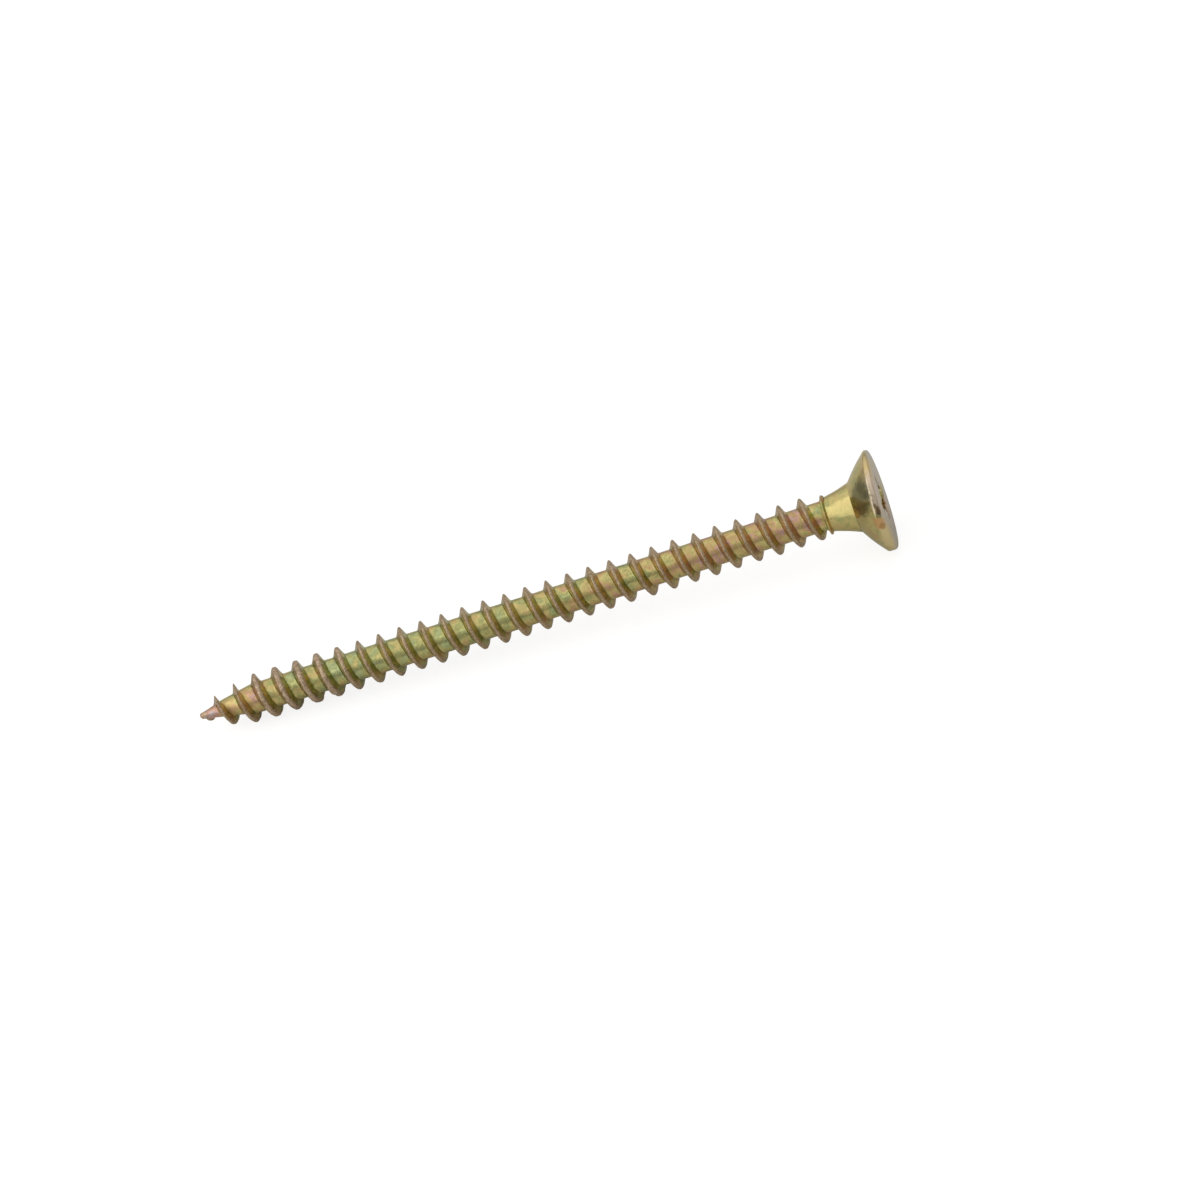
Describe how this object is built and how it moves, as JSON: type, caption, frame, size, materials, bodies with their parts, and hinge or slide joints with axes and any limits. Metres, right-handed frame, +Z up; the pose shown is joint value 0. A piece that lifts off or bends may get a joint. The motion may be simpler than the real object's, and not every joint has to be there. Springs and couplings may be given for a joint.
{
  "type": "wood screw",
  "caption": "Countersunk wood screw with a cross recess, full-length coarse right-hand thread and gimlet point, yellow passivated.",
  "frame": {"origin": "centre of the flat head face, where the screw's axis meets it", "axes": "+X along the screw's axis, out of the head face and away from the point; +Z up with the screw lying"},
  "size_m": [0.06, 0.0086, 0.0086],
  "materials": {
    "plated_head": "yellow passivated zinc, greyish on the rim",
    "plated_neck": "yellow passivated zinc, smooth",
    "plated_shank": "yellow passivated zinc with green and pink patches",
    "plated_point": "yellow passivated zinc, pinkish at the nose",
    "plated_thread": "yellow passivated zinc, brownish grey and rougher on the crest"
  },
  "bodies": {
    "root": {"head": "plated_head", "neck": "plated_neck", "shank_core": "plated_shank", "point": "plated_point", "thread": "plated_thread"}
  },
  "joints": []
}
